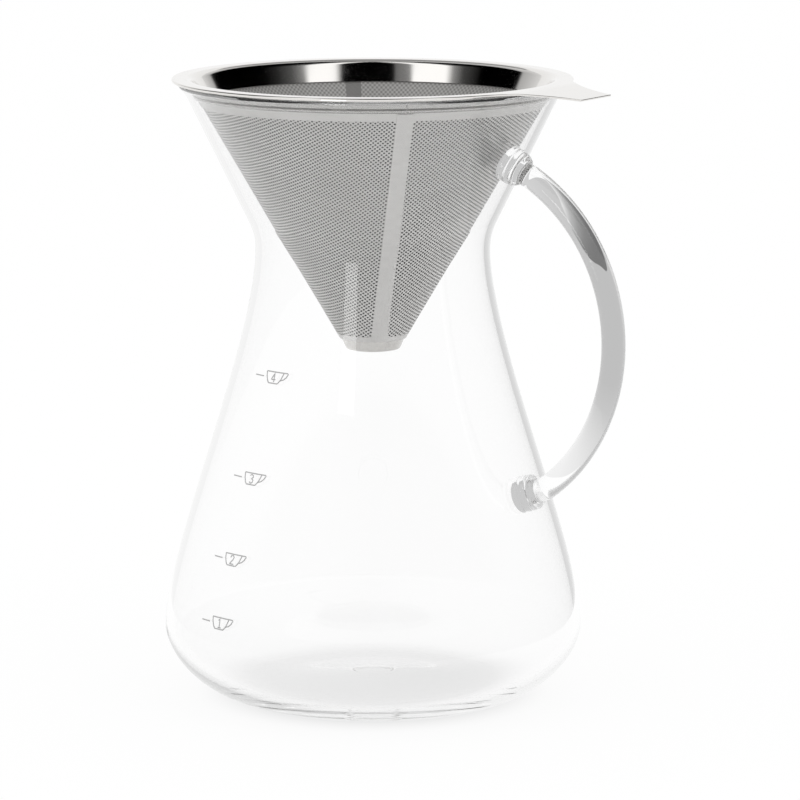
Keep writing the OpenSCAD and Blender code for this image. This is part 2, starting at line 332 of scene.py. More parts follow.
# the outer or the inner line of the wall, from the base up to the lip
def wallLine(inside):
    line = []
    shoulder = [
        (c["baseR"], 0),
        (c["baseR"] + c["shoulderShare"] * (c["bellyR"] - c["baseR"]), 0),
        (c["bellyR"], c["bellyH"] * (1 - c["shoulderShare"])),
        (c["bellyR"], c["bellyH"]),
    ]
    sideH = c["waistH"] - c["bellyH"]
    side = [
        (c["bellyR"], c["bellyH"]),
        (c["bellyR"], c["bellyH"] + c["sideLowShare"] * sideH),
        (c["waistR"], c["waistH"] - c["sideHighShare"] * sideH),
        (c["waistR"], c["waistH"]),
    ]
    for t in np.linspace(0, 1, 37):
        at, inward = cubic(shoulder, t)
        thick = c["wallT"] + (c["floorT"] - c["wallT"]) * (1 - t) ** 2
        line.append(at + inward * (thick if inside else 0))
    for t in np.linspace(0, 1, 57)[1:]:
        at, inward = cubic(side, t)
        line.append(at + inward * (c["wallT"] if inside else 0))
    more = c["wallT"] if inside else 0
    waistCentre = (c["waistR"] + c["waistBendR"], c["waistH"])
    line += arcPoints(waistCentre, c["waistBendR"] + more, 180, 180 - c["funnelAngle"], 14)[1:]
    lipEndZ = c["glassH"] - c["wallT"] / 2 * (1 + sin(radians(lipAngle)))
    lipStartZ = lipEndZ - c["lipFlareH"]
    startR = waistCentre[0] - c["waistBendR"] * cos(funnelTurn)
    startZ = waistCentre[1] + c["waistBendR"] * sin(funnelTurn)
    lipStart = (startR + (lipStartZ - startZ) * tan(funnelTurn), lipStartZ)
    lipCentre = (
        lipStart[0] + c["lipBendR"] * cos(funnelTurn),
        lipStart[1] - c["lipBendR"] * sin(funnelTurn),
    )
    lip = arcPoints(lipCentre, c["lipBendR"] + more, 180 - c["funnelAngle"], 180 - lipAngle, 10)
    low, high = np.array(line[-1]), np.array(lip[0])
    line += [low + (high - low) * t for t in np.linspace(0, 1, 13)[1:-1]]  # the straight funnel
    return [tuple(p) for p in line] + lip


def floorRise(r, edgeR):
    return c["pushUpH"] * (1 + cos(pi * r / edgeR)) / 2


outerLine, innerLine = wallLine(False), wallLine(True)
lipMiddle = tuple((np.array(outerLine[-1]) + np.array(innerLine[-1])) / 2)
ringInR = c["baseR"] - c["baseRingW"]
markTop = floorRise(c["markR"], ringInR) + c["markH"]
bevel = 0.35  # the mould mark's softened edge, as shares out and up from its corner and from its foot
markCorner, markFoot = [(-2.0, 0.0), (-0.9, -0.12), (-0.35, -0.6)], (0.2, 0.25)
outline = [(0, markTop)]
outline += [(c["markR"] + bevel * across, markTop + bevel * up) for across, up in markCorner]
outline += [(c["markR"] + bevel * markFoot[0], floorRise(c["markR"], ringInR) + bevel * markFoot[1])]
outline += [(r, floorRise(r, ringInR)) for r in np.linspace(c["markR"] + 2 * bevel, ringInR, 26)]
outline += outerLine
outline += arcPoints(lipMiddle, c["wallT"] / 2, -lipAngle, 180 - lipAngle, 14)[1:-1]
outline += innerLine[::-1]
outline += [(r, c["floorT"] + floorRise(r, c["baseR"])) for r in np.linspace(c["baseR"], 0, 30)[1:]]
points, faces = turnedMesh([(r * mm, z * mm) for r, z in outline], c["segments"])
carafeBody = outwardNormals(newPiece("carafeBody", points, faces, clearGlass))
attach(carafeBody, "carafe")
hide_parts("carafe_body")

wallR = np.array([p[0] for p in outerLine])
wallZ = np.array([p[1] for p in outerLine])


def outerR(z):
    return float(np.interp(z, wallZ, wallR))


# a place on the wall at a height, and the direction straight out from it, both in the XZ plane
def wallSpot(z):
    run = np.array([outerR(z + 0.5) - outerR(z - 0.5), 1.0])
    return np.array([outerR(z), z]), np.array([run[1], -run[0]]) / np.linalg.norm(run)


print("stage: handle")
handle = dict(
    rodR=3.7, upperDrop=22.8, lowerRise=46.5, upperL=10.6, lowerL=8.8, bow=26.0, padR=5.9,
    neckR=3.1, beadL=6.6, beadPower=4.0, shoulderL=1.9, weldGap=0.03, rippleMm=0.2,
    rippleL=2.3, rippleSlant=0.7, rippleStart=1.0, slideMm=4.0, hugL=3.2, hugPower=1.5,
    capShares=(0.25, 0.5, 0.75, 0.93), footSteps=40, bowSteps=150, easeRounds=60,
    heldSteps=12, around=72,
)
h = handle
upperSeat, upperOut = wallSpot(c["glassH"] - h["upperDrop"])
lowerSeat, lowerOut = wallSpot(c["bellyH"] + h["lowerRise"])
upperEnd = upperSeat + h["upperL"] * upperOut
lowerEnd = lowerSeat + h["lowerL"] * lowerOut
chord = upperEnd - lowerEnd
chordL = np.linalg.norm(chord)
bowOut = np.array([chord[1], -chord[0]]) / chordL
halfTurn = 2 * atan(2 * h["bow"] / chordL)
bendR = chordL / (2 * sin(halfTurn))
bendCentre = (upperEnd + lowerEnd) / 2 + (h["bow"] - bendR) * bowOut
tilt = atan2(bowOut[1], bowOut[0])

# the middle line: out of the upper pad, round the bow and into the lower pad
path = []
for s in np.linspace(0, h["upperL"], h["footSteps"])[:-1]:
    path.append(upperSeat + s * upperOut)
for a in np.linspace(tilt + halfTurn, tilt - halfTurn, h["bowSteps"]):
    path.append(bendCentre + bendR * np.array([cos(a), sin(a)]))
for s in np.linspace(h["lowerL"], 0, h["footSteps"])[1:]:
    path.append(lowerSeat + s * lowerOut)
path = np.array(path)
# the corner between a foot and the rod melts into a short bend
eased, held = path.copy(), h["heldSteps"]
for _ in range(h["easeRounds"]):
    eased[1:-1] = (eased[:-2] + 2 * eased[1:-1] + eased[2:]) / 4
    eased[:held], eased[-held:] = path[:held], path[-held:]
path = eased
steps = np.linalg.norm(np.diff(path, axis=0), axis=1)
along = np.concatenate([[0], np.cumsum(steps)])
total = along[-1]


# how thick the drawn glass is at a way s out from the wall: a bead with molten rings, a groove, then
# the rod's shoulder
def footR(s, a):
    if s < h["beadL"]:
        full = sqrt(max(0.0, 1 - (s / h["beadL"]) ** h["beadPower"]))
        ring = (s + h["rippleSlant"] * sin(a)) / h["rippleL"]
        ripple = h["rippleMm"] * (0.5 - 0.5 * cos(2 * pi * ring)) * min(1.0, s / h["rippleStart"])
        return h["neckR"] + (h["padR"] - h["neckR"] - ripple) * full
    u = min(1.0, (s - h["beadL"]) / h["shoulderL"])
    return h["neckR"] + (h["rodR"] - h["neckR"]) * sqrt(1 - (1 - u) ** 2)


def rodR(s, a):
    return footR(s if s < total / 2 else total - s, a)


# slides a point along a foot's direction until it lies on the outside of the wall
def ontoWall(p, out):
    low, high = -h["slideMm"], h["slideMm"]
    for _ in range(40):
        mid = (low + high) / 2
        x, z = p[0] + mid * out[0], p[2] + mid * out[1]
        low, high = (mid, high) if hypot(x, p[1]) < outerR(z) else (low, mid)
    return low + h["weldGap"]


points = []
rings = [(0.0, share) for share in h["capShares"]] + [(s, 1.0) for s in along]
rings += [(total, share) for share in h["capShares"][::-1]]
tangents = np.gradient(path, axis=0)
tangents /= np.linalg.norm(tangents, axis=1)[:, None]
for s, share in rings:
    i = int(np.argmin(abs(along - s)))
    side = np.array([tangents[i][1], -tangents[i][0]])
    nearUpper = s < total / 2
    out, seat = (upperOut, upperSeat) if nearUpper else (lowerOut, lowerSeat)
    wayOut = np.array([out[0], 0, out[1]])
    wayIn = s if nearUpper else total - s
    hug = max(0.0, 1 - wayIn / h["hugL"]) ** h["hugPower"]  # near the wall the pad takes the wall's curve
    for k in range(h["around"]):
        a = 2 * pi * k / h["around"]
        r = rodR(s, a) * share
        p = np.array(
            [
                path[i][0] + r * cos(a) * side[0],
                r * sin(a),
                path[i][1] + r * cos(a) * side[1],
            ]
        )
        if hug > 0:
            onSeat = p - wayOut * ((p[0] - seat[0]) * out[0] + (p[2] - seat[1]) * out[1])
            p = p + wayOut * ontoWall(onSeat, out) * hug
        points.append(p * mm)
n = h["around"]
faces = rowFaces(len(rings), n)
for ring in (0, len(rings) - 1):
    points.append(np.mean(points[ring * n : ring * n + n], axis=0))
    for k in range(n):
        faces.append((ring * n + k, ring * n + (k + 1) % n, len(points) - 1))
glassHandle = outwardNormals(newPiece("glassHandle", points, faces, clearGlass))
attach(glassHandle, "carafe")
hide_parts("handle_rod", "upper_handle_foot", "lower_handle_foot")

print("stage: filter")
cone = dict(
    rimZ=196.4, rimOverhang=2.3, rimRollR=0.5, collarT=0.6, collarH=6.7, collarBendR=2.4,
    tabReach=17.5, tabW=16.6, tabFlareR=34.0, tabSlope=5.5, tabBendIn=1.5, tabBendL=3.0,
    fadeAngle=7.0, sideSteps=70, endSteps=31, rimRows=12, depth=85.8, tipR=10.5, sheetT=0.4,
    meshT=0.3, bandT=0.5, bandDrop=4.8, stackDrop=2.1, gap=0.5, seamW=5.1, seamAngle=-47.3,
    jointW=0.3, capH=3.5, capBottomR=8.8, capEdgeR=0.8, capT=0.5, capLap=2.0, segments=224,
)
f = cone
mouthR = outerLine[-1][0]
rimR = mouthR + f["rimOverhang"]
skirtZ = f["rimZ"] - f["collarH"]
stackZ = f["rimZ"] - f["stackDrop"]
bandZ = f["rimZ"] - f["bandDrop"]
capZ = f["rimZ"] - f["depth"]
tipZ = capZ + f["capH"]
bandOutR = np.interp(bandZ, wallZ, wallR) - c["wallT"] / cos(funnelTurn) - f["gap"]
roughAngle = atan2(bandOutR - f["tipR"], bandZ - tipZ)
coneAngle = atan2(bandOutR - f["bandT"] / cos(roughAngle) - f["tipR"], bandZ - tipZ)


def coneR(z, depth=0.0):
    return f["tipR"] + (z - tipZ) * tan(coneAngle) - depth / cos(coneAngle)


apexZ = tipZ - f["tipR"] / tan(coneAngle)  # where the outer cone would come to a point
lean = degrees(coneAngle)

# collar: skirt, bend, level rim and rolled edge. Toward the handle the rim runs out into the thumb tab
skirtDepth = f["sheetT"] + f["meshT"]
underZ = f["rimZ"] - f["collarT"]
bendZ = underZ - f["collarBendR"]
bendAt = (coneR(bendZ, skirtDepth) + f["collarBendR"] / cos(coneAngle), bendZ)
flareY = f["tabW"] / 2 + f["tabFlareR"]
flareX = sqrt((rimR + f["tabFlareR"]) ** 2 - flareY**2)
endX = rimR + f["tabReach"]
rootTurn = atan2(flareY, flareX)
endTurn = atan2(flareY - sqrt(f["tabFlareR"] ** 2 - (flareX - endX) ** 2), endX)
# the rolled edge flattens over this turn, where the tab grows out of it
fadeTurn = radians(f["fadeAngle"])
slope = tan(radians(f["tabSlope"]))


# how far the sheet's edge is from the axis: the round rim, the tab's flared sides or its straight end
def sheetEdge(a):
    if a >= rootTurn:
        return rimR
    if a <= endTurn:
        return endX / cos(a)
    near = flareX * cos(a) + flareY * sin(a)
    return near - sqrt(near**2 - flareX**2 - flareY**2 + f["tabFlareR"] ** 2)


# the tab's slope begins in a short bend just inside the rim
def tabDrop(x):
    over, ease = x - (rimR - f["tabBendIn"]), f["tabBendL"]
    return slope * (0 if over < 0 else over**2 / (2 * ease) if over < ease else over - ease / 2)


wide = rootTurn + fadeTurn
turns = [
    *np.linspace(-wide, -endTurn, f["sideSteps"]),
    *np.linspace(-endTurn, endTurn, f["endSteps"])[1:-1],
    *np.linspace(endTurn, wide, f["sideSteps"]),
    *np.linspace(wide, 2 * pi - wide, f["segments"])[1:-1],
]
shares = [i / f["rimRows"] for i in range(1, f["rimRows"])]
points = []
for a in turns:
    fromTab = abs((a + pi) % (2 * pi) - pi)
    flatShare = np.clip((wide - fromTab) / fadeTurn, 0, 1)
    rollR = f["rimRollR"] + (f["collarT"] / 2 - f["rimRollR"]) * flatShare * flatShare * (3 - 2 * flatShare)
    rollFrom = 180 - degrees(asin(max(-1.0, (rollR - f["collarT"]) / rollR)))
    rolledEdge = arcPoints((sheetEdge(fromTab) - rollR, f["rimZ"] - rollR), rollR, rollFrom, 450, 26)
    outline = [(coneR(skirtZ, skirtDepth), skirtZ)]
    outline += arcPoints(bendAt, f["collarBendR"], 180 - lean, 90, 10)
    outline += [(bendAt[0] + (rolledEdge[0][0] - bendAt[0]) * t, underZ) for t in shares]
    outline += rolledEdge
    outline += [(bendAt[0] + (rolledEdge[-1][0] - bendAt[0]) * (1 - t), f["rimZ"]) for t in shares]
    outline += arcPoints(bendAt, f["collarBendR"] + f["collarT"], 90, 180 - lean, 12)
    outline += [(coneR(skirtZ, skirtDepth + f["collarT"]), skirtZ)]
    for r, z in outline:
        x, y = r * cos(a), r * sin(a)
        points.append((x * mm, y * mm, (z - tabDrop(x)) * mm))
faces = rowFaces(len(turns), len(outline), looped=True)
filterCollar = crispEdges(outwardNormals(newPiece("filterCollar", points, faces, polishedSteel)), 40)
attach(filterCollar, "filter")
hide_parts("filter_collar")

# crimp band: a ring on the cone's line with a butt joint, its lower edge rolled to a soft bead. Its section
# is in millimetres out from the cone and up from the band's lower edge
band = dict(
    steps=200,
    hemUp=0.2,
    beadAt=(0.22, 0.62),
    beadR=0.6,
    groove=[(0.02, 1.24), (0.02, 1.5)],
    neck=[(0.3, 1.56), (0.24, 1.9), (0.22, 2.4), (0.26, 2.9), (0.36, 3.3)],
    flare=[(0.56, 3.7), (0.85, 3.95), (1.1, 4.08)],
    topOut=0.05,
)
seam = radians(f["seamAngle"])
section = arcPoints(band["beadAt"], band["beadR"], -95, 80, 14)
section += band["groove"] + band["neck"] + band["flare"]
outline = [(coneR(bandZ + band["hemUp"]), bandZ + band["hemUp"])]
outline += [(coneR(bandZ + up, -across), bandZ + up) for across, up in section]
outline += [(coneR(stackZ, -band["topOut"]), stackZ)]
points = []
half = f["jointW"] / 2 / coneR(bandZ)
for k in range(band["steps"] + 1):
    a = seam + half + (2 * pi - 2 * half) * k / band["steps"]
    for r, z in outline:
        points.append(placeAt(r, a, z))
n = len(outline)
faces = rowFaces(band["steps"] + 1, n)
faces.append(tuple(range(n)))
faces.append(tuple(band["steps"] * n + i for i in range(n))[::-1])
rolledStrip = streaked["coldRolledStainlessStrip"]
crimpBand = crispEdges(outwardNormals(newPiece("crimpBand", points, faces, rolledStrip)), 60)
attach(crimpBand, "filter")
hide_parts("crimp_band")

# perforated sheet: punched flat, cut to the cone's flat pattern, then rolled up
punch = dict(
    pitchMm=1.03, holeMm=0.73, thickMm=0.15, sides=6, firstZ=115.1, lastZ=189.8, parts=3, seamTurn=0.012
)
weldMm = 0.01
flatTurn = 2 * pi * sin(coneAngle)


def slant(z):
    return (z - apexZ) / cos(coneAngle)


# a place on the cone's flat pattern as a UV, with the back of a sheet below its front
def flatUv(z, turn, front):
    s = slant(z) * mm * uvPerMetre
    return 0.5 + s * cos(turn), 0.5 + s * sin(turn) * (1 if front else -1)


tree = bpy.data.node_groups.new("punchAndRoll", "GeometryNodeTree")
tree.interface.new_socket("Geometry", in_out="OUTPUT", socket_type="NodeSocketGeometry")
for name, kind in (
    ("Pitch", "Float"),
    ("Hole Radius", "Float"),
    ("Sheet Thickness", "Float"),
    ("Inner Slant", "Float"),
    ("Outer Slant", "Float"),
    ("Start Turn", "Float"),
    ("End Turn", "Float"),
    ("Cone Angle", "Float"),
    ("Apex Height", "Float"),
    ("Seam Direction", "Float"),
    ("Grid Count", "Int"),
    ("Hole Sides", "Int"),
    ("Steel", "Material"),
):
    tree.interface.new_socket(name, in_out="INPUT", socket_type="NodeSocket" + kind)
given = addNode(tree, "NodeGroupInput").outputs
spot = addNode(tree, "GeometryNodeInputPosition")
xyz = addNode(tree, "ShaderNodeSeparateXYZ", {"Vector": spot}).outputs
# the tree's sums in their order, each with its name, kind and terms. A term may be a sum above it
sums = {}
for name, kind, *terms in (
    ("gaps", "SUBTRACT", given["Grid Count"], 1.0),
    ("spread", "MULTIPLY", "gaps", given["Pitch"]),
    ("xx", "POWER", xyz["X"], 2.0),
    ("yy", "POWER", xyz["Y"], 2.0),
    ("awaySquared", "ADD", "xx", "yy"),
    ("away", "SQRT", "awaySquared"),
    ("bearing", "ARCTAN2", xyz["Y"], xyz["X"]),
    # cells outside the part's share of the flat pattern
    ("pastInner", "GREATER_THAN", "away", given["Inner Slant"]),
    ("shortOfOuter", "LESS_THAN", "away", given["Outer Slant"]),
    ("onSlant", "MULTIPLY", "pastInner", "shortOfOuter"),
    ("pastStart", "GREATER_THAN", "bearing", given["Start Turn"]),
    ("shortOfEnd", "LESS_THAN", "bearing", given["End Turn"]),
    ("onTurn", "MULTIPLY", "pastStart", "shortOfEnd"),
    ("within", "MULTIPLY", "onSlant", "onTurn"),
    ("outside", "LESS_THAN", "within", 0.5),
    # the flat pattern is the piece's UV map, with the back of the sheet below the front
    ("isBack", "LESS_THAN", xyz["Z"], weldMm * mm),
    ("twiceBack", "MULTIPLY", "isBack", 2.0),
    ("flip", "SUBTRACT", 1.0, "twiceBack"),
    ("flippedY", "MULTIPLY", xyz["Y"], "flip"),
    ("u", "MULTIPLY_ADD", xyz["X"], uvPerMetre, 0.5),
    ("v", "MULTIPLY_ADD", "flippedY", uvPerMetre, 0.5),
    # rolling: the bearing becomes a turn about Z, and the distance from the corner runs up the cone
    ("sine", "SINE", given["Cone Angle"]),
    ("cosine", "COSINE", given["Cone Angle"]),
    ("roundBy", "DIVIDE", "bearing", "sine"),
    ("turn", "SUBTRACT", given["Seam Direction"], "roundBy"),
    ("proud", "SUBTRACT", xyz["Z"], given["Sheet Thickness"]),
    ("awayOut", "MULTIPLY", "away", "sine"),
    ("proudOut", "MULTIPLY", "proud", "cosine"),
    ("radius", "ADD", "awayOut", "proudOut"),
    ("awayUp", "MULTIPLY", "away", "cosine"),
    ("proudDown", "MULTIPLY", "proud", "sine"),
    ("rise", "SUBTRACT", "awayUp", "proudDown"),
    ("z", "ADD", given["Apex Height"], "rise"),
    ("turnCosine", "COSINE", "turn"),
    ("turnSine", "SINE", "turn"),
    ("x", "MULTIPLY", "radius", "turnCosine"),
    ("y", "MULTIPLY", "radius", "turnSine"),
):
    terms = [sums[term] if isinstance(term, str) else term for term in terms]
    sums[name] = addNode(tree, "ShaderNodeMath", dict(enumerate(terms)), operation=kind)

# one square cell with its hole
plate = addNode(
    tree, "GeometryNodeCurvePrimitiveQuadrilateral", {"Width": given["Pitch"], "Height": given["Pitch"]}
)
hole = addNode(
    tree,
    "GeometryNodeCurvePrimitiveCircle",
    {"Resolution": given["Hole Sides"], "Radius": given["Hole Radius"]},
)
both = addNode(tree, "GeometryNodeJoinGeometry")
tree.links.new(plate.outputs["Curve"], both.inputs["Geometry"])
tree.links.new(hole.outputs["Curve"], both.inputs["Geometry"])
cell = addNode(tree, "GeometryNodeFillCurve", {"Curve": both})

# a square lattice of cells, turned 45 degrees to the seam, cut to the part and welded. Each step works on
# what the one before it gives
grid = {"Size X": sums["spread"], "Size Y": sums["spread"]}
grid |= {"Vertices X": given["Grid Count"], "Vertices Y": given["Grid Count"]}
welded = addNode(tree, "GeometryNodeMeshGrid", grid)
eighthTurn = {"Rotation": (0.0, 0.0, radians(45))}
for kind, inputs, settings in (
    ("Transform", eighthTurn, {}),
    ("DeleteGeometry", {"Selection": sums["outside"]}, dict(domain="POINT")),
    ("InstanceOnPoints", {"Instance": cell, **eighthTurn}, {}),
    ("RealizeInstances", {}, {}),
    ("MergeByDistance", {"Distance": weldMm * mm}, {}),
):
    welded = addNode(tree, "GeometryNode" + kind, {0: welded, **inputs}, **settings)
lift = addNode(tree, "ShaderNodeCombineXYZ", {"Z": given["Sheet Thickness"]})
front = addNode(
    tree,
    "GeometryNodeExtrudeMesh",
    {"Mesh": welded, "Offset": lift, "Offset Scale": 1.0, "Individual": False},
    mode="FACES",
)
back = addNode(tree, "GeometryNodeFlipFaces", {"Mesh": welded})
shut = addNode(tree, "GeometryNodeJoinGeometry")
tree.links.new(front.outputs["Mesh"], shut.inputs["Geometry"])
tree.links.new(back.outputs["Mesh"], shut.inputs["Geometry"])

# the thick sheet is closed, mapped and rolled
flatAt = addNode(tree, "ShaderNodeCombineXYZ", {"X": sums["u"], "Y": sums["v"]})
rolledAt = addNode(tree, "ShaderNodeCombineXYZ", {axis: sums[axis.lower()] for axis in "XYZ"})
rolled = shut
for kind, inputs, settings in (
    ("MergeByDistance", {"Distance": weldMm * mm}, {}),
    (
        "StoreNamedAttribute",
        {"Name": "UVMap", "Value": flatAt},
        dict(data_type="FLOAT2", domain="CORNER"),
    ),
    ("SetPosition", {"Position": rolledAt}, {}),
    ("RealizeInstances", {}, {}),
    ("SetMaterial", {"Material": given["Steel"]}, {}),
):
    rolled = addNode(tree, "GeometryNode" + kind, {0: rolled, **inputs}, **settings)
addNode(tree, "NodeGroupOutput", {"Geometry": rolled})

sockets = {s.name: s.identifier for s in tree.interface.items_tree if s.in_out == "INPUT"}
partTurn = (flatTurn - 2 * punch["seamTurn"]) / punch["parts"]
for part in range(punch["parts"]):
    carrier = bpy.data.objects.new("punchCarrier", bpy.data.meshes.new("punchCarrier"))
    scene.collection.objects.link(carrier)
    rolling = carrier.modifiers.new("punchAndRoll", "NODES")
    rolling.node_group = tree
    values = {
        "Pitch": punch["pitchMm"] * mm,
        "Hole Radius": punch["holeMm"] / 2 * mm,
        "Sheet Thickness": punch["thickMm"] * mm,
        "Inner Slant": slant(punch["firstZ"]) * mm,
        "Outer Slant": slant(punch["lastZ"]) * mm,
        "Start Turn": punch["seamTurn"] + partTurn * part,
        "End Turn": punch["seamTurn"] + partTurn * (part + 1),
        "Cone Angle": coneAngle,
        "Apex Height": apexZ * mm,
        "Seam Direction": seam,
        "Grid Count": 2 * int(slant(punch["lastZ"]) / punch["pitchMm"]) + 3,
        "Hole Sides": punch["sides"],
        "Steel": streaked["punchedStainlessSheet"],
    }
    for name, value in values.items():
        rolling[sockets[name]] = value
    graph = bpy.context.evaluated_depsgraph_get()
    mesh = bpy.data.meshes.new_from_object(carrier.evaluated_get(graph))
    bpy.data.objects.remove(carrier)
    mesh.name = "perforatedCone" + "ABC"[part]
    piece = bpy.data.objects.new(mesh.name, mesh)
    scene.collection.objects.link(piece)
    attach(piece, "filter")
    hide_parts("perforated_cone")
    print("  ", piece.name, len(mesh.polygons), "faces", len(mesh.vertices), "corners")

# the plain borders of the sheet and the lap of its seam, a hair proud so that they hold the cut cells
borders = dict(skin=0.03, overTop=0.9, overTip=0.7, lapLow=0.02, lapHigh=0.3, lapOut=0.6)
points, faces, flatSpots = [], [], []


def addStrip(lowZ, highZ, outside, halfWidth, steps, rows):
    base = len(points)
    turnCount = steps + 1
    for depth in (-outside, f["sheetT"] - borders["skin"]):
        for i in range(rows + 1):
            z = lowZ + (highZ - lowZ) * i / rows
            start, end = seam, seam + 2 * pi
            if halfWidth:
                start, end = seam - halfWidth / coneR(z), seam + halfWidth / coneR(z)
            for k in range(turnCount):
                a = start + (end - start) * k / steps
                r = coneR(z, depth)
                points.append(placeAt(r, a, z))
                flatSpots.append(flatUv(z, (seam - a) % (2 * pi) * sin(coneAngle), depth < 0))
    layer = turnCount * (rows + 1)
    at = lambda d, i, k: base + d * layer + i * turnCount + k
    for i in range(rows):
        for k in range(steps):
            faces.append((at(0, i, k), at(0, i, k + 1), at(0, i + 1, k + 1), at(0, i + 1, k)))
            faces.append((at(1, i, k), at(1, i + 1, k), at(1, i + 1, k + 1), at(1, i, k + 1)))
    for k in range(steps):
        faces.append((at(0, 0, k), at(1, 0, k), at(1, 0, k + 1), at(0, 0, k + 1)))
        faces.append((at(0, rows, k), at(0, rows, k + 1), at(1, rows, k + 1), at(1, rows, k)))
    for i in range(rows):
        faces.append((at(0, i, 0), at(0, i + 1, 0), at(1, i + 1, 0), at(1, i, 0)))
        faces.append((at(0, i, steps), at(1, i, steps), at(1, i + 1, steps), at(0, i + 1, steps)))


addStrip(punch["lastZ"] - borders["overTop"], stackZ, borders["skin"], 0, 200, 4)
addStrip(tipZ, punch["firstZ"] + borders["overTip"], borders["skin"], 0, 120, 2)
lapOut = f["sheetT"] * borders["lapOut"]
addStrip(tipZ + borders["lapLow"], bandZ - borders["lapHigh"], lapOut, f["seamW"] / 2, 6, 30)
coneBorders = newPiece("coneBorders", points, faces, streaked["punchedStainlessSheet"])
mapping = coneBorders.data.uv_layers.new(name="UVMap")
for loop in coneBorders.data.loops:
    mapping.data[loop.index].uv = flatSpots[loop.vertex_index]
crispEdges(outwardNormals(coneBorders), 50)
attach(coneBorders, "filter")
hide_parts("perforated_cone")

# fine woven liner inside the sheet, from the tip cap's edge up under the crimp
liner = dict(clear=0.02, behind=0.35, easeMm=2.0, jointTurn=129.4, rows=40, segments=200)
linerLow = tipZ + f["capLap"]
linerZ = np.linspace(linerLow, stackZ, liner["rows"] + 1)
points = []
for depth in (f["sheetT"] + liner["clear"], f["sheetT"] + f["meshT"] - liner["clear"]):
    for z in linerZ:
        r = coneR(z, depth + liner["behind"] * np.clip((skirtZ - z) / liner["easeMm"], 0, 1))
        for k in range(liner["segments"]):
            a = radians(liner["jointTurn"]) + 2 * pi * k / liner["segments"]
            points.append(placeAt(r, a, z))
# corners of each face by layer, row and turn
corners = []
for d in (0, 1):
    for i in range(liner["rows"]):
        for k in range(liner["segments"]):
            quad = [(d, i, k), (d, i, k + 1), (d, i + 1, k + 1), (d, i + 1, k)]
            corners.append(quad if d == 0 else quad[::-1])
for k in range(liner["segments"]):
    corners.append([(0, 0, k), (1, 0, k), (1, 0, k + 1), (0, 0, k + 1)])
    top = liner["rows"]
    corners.append([(0, top, k), (0, top, k + 1), (1, top, k + 1), (1, top, k)])
layer = liner["segments"] * (liner["rows"] + 1)
faces = [[d * layer + i * liner["segments"] + k % liner["segments"] for d, i, k in quad] for quad in corners]
meshLiner = newPiece("meshLiner", points, faces, woven[0])
# the outer faces take the darker cloth, which is painted shade from the sheet in front of them
meshLiner.data.materials.append(woven[1])
for name in ("UVMap", "Threads"):
    meshLiner.data.uv_layers.new(name=name)
mapping, threads = meshLiner.data.uv_layers
for poly, quad in zip(meshLiner.data.polygons, corners):
    poly.material_index = 1 if quad[0][0] == 0 and quad[2][0] == 0 else 0
    for loop, (d, i, k) in zip(poly.loop_indices, quad):
        share = k / liner["segments"]
        mapping.data[loop].uv = flatUv(linerZ[i], flatTurn * share, d == 0)
        # the cloth's own threads: metres round from its joint and up the slope
        roundBy = 2 * pi * coneR(stackZ) * mm * (share if share <= 0.5 else share - 1)
        threads.data[loop].uv = (roundBy, slant(linerZ[i]) * mm)
crispEdges(meshLiner, 50)
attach(meshLiner, "filter")
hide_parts("fine_mesh_liner")

# tip cap: a shallow cup whose edge laps into the end of the cone
lapZ = tipZ + f["capLap"]
edgeAt = (f["capBottomR"] - f["capEdgeR"], capZ + f["capEdgeR"])
sideLean = degrees(atan2(coneR(tipZ, f["sheetT"]) - f["capBottomR"], f["capH"] - f["capEdgeR"]))
capClear = 0.03
dimple = [(0.0, 0.25), (0.55, 0.22), (0.9, 0.03)]  # share of the flat's radius, and rise
outline = [(edgeAt[0] * share, capZ + rise) for share, rise in dimple]
outline += arcPoints(edgeAt, f["capEdgeR"], -90, -sideLean, 8)
outline += [
    (coneR(tipZ, f["sheetT"] + capClear), tipZ),
    (coneR(lapZ, f["sheetT"] + capClear), lapZ - capClear),
    (coneR(lapZ, f["sheetT"] + f["capT"]), lapZ - capClear),
    (coneR(tipZ, f["sheetT"] + f["capT"]), tipZ),
]
outline += arcPoints(edgeAt, f["capEdgeR"] - f["capT"], -sideLean, -90, 6)
outline += [(edgeAt[0] * share, capZ + f["capT"] + rise) for share, rise in dimple[::-1]]
points, faces = turnedMesh([(r * mm, z * mm) for r, z in outline], 120)
tipCap = crispEdges(outwardNormals(newPiece("tipCap", points, faces, streaked["deepDrawnStainless"])), 35)
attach(tipCap, "filter")
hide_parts("tip_cap")

print("stage: printed marks")
marks = dict(
    # turn and height of each
    places={"1": (-104.0, 31.7), "2": (-103.3, 51.2), "3": (-102.2, 75.8), "4": (-101.5, 106.5)},
    strokeMm=0.4,
    stepMm=0.4,
    clearMm=0.004,
    inkMm=0.05,
    tickMm=4.0,
    tickAt=-7.05,
    numeralAt=-0.4,
)
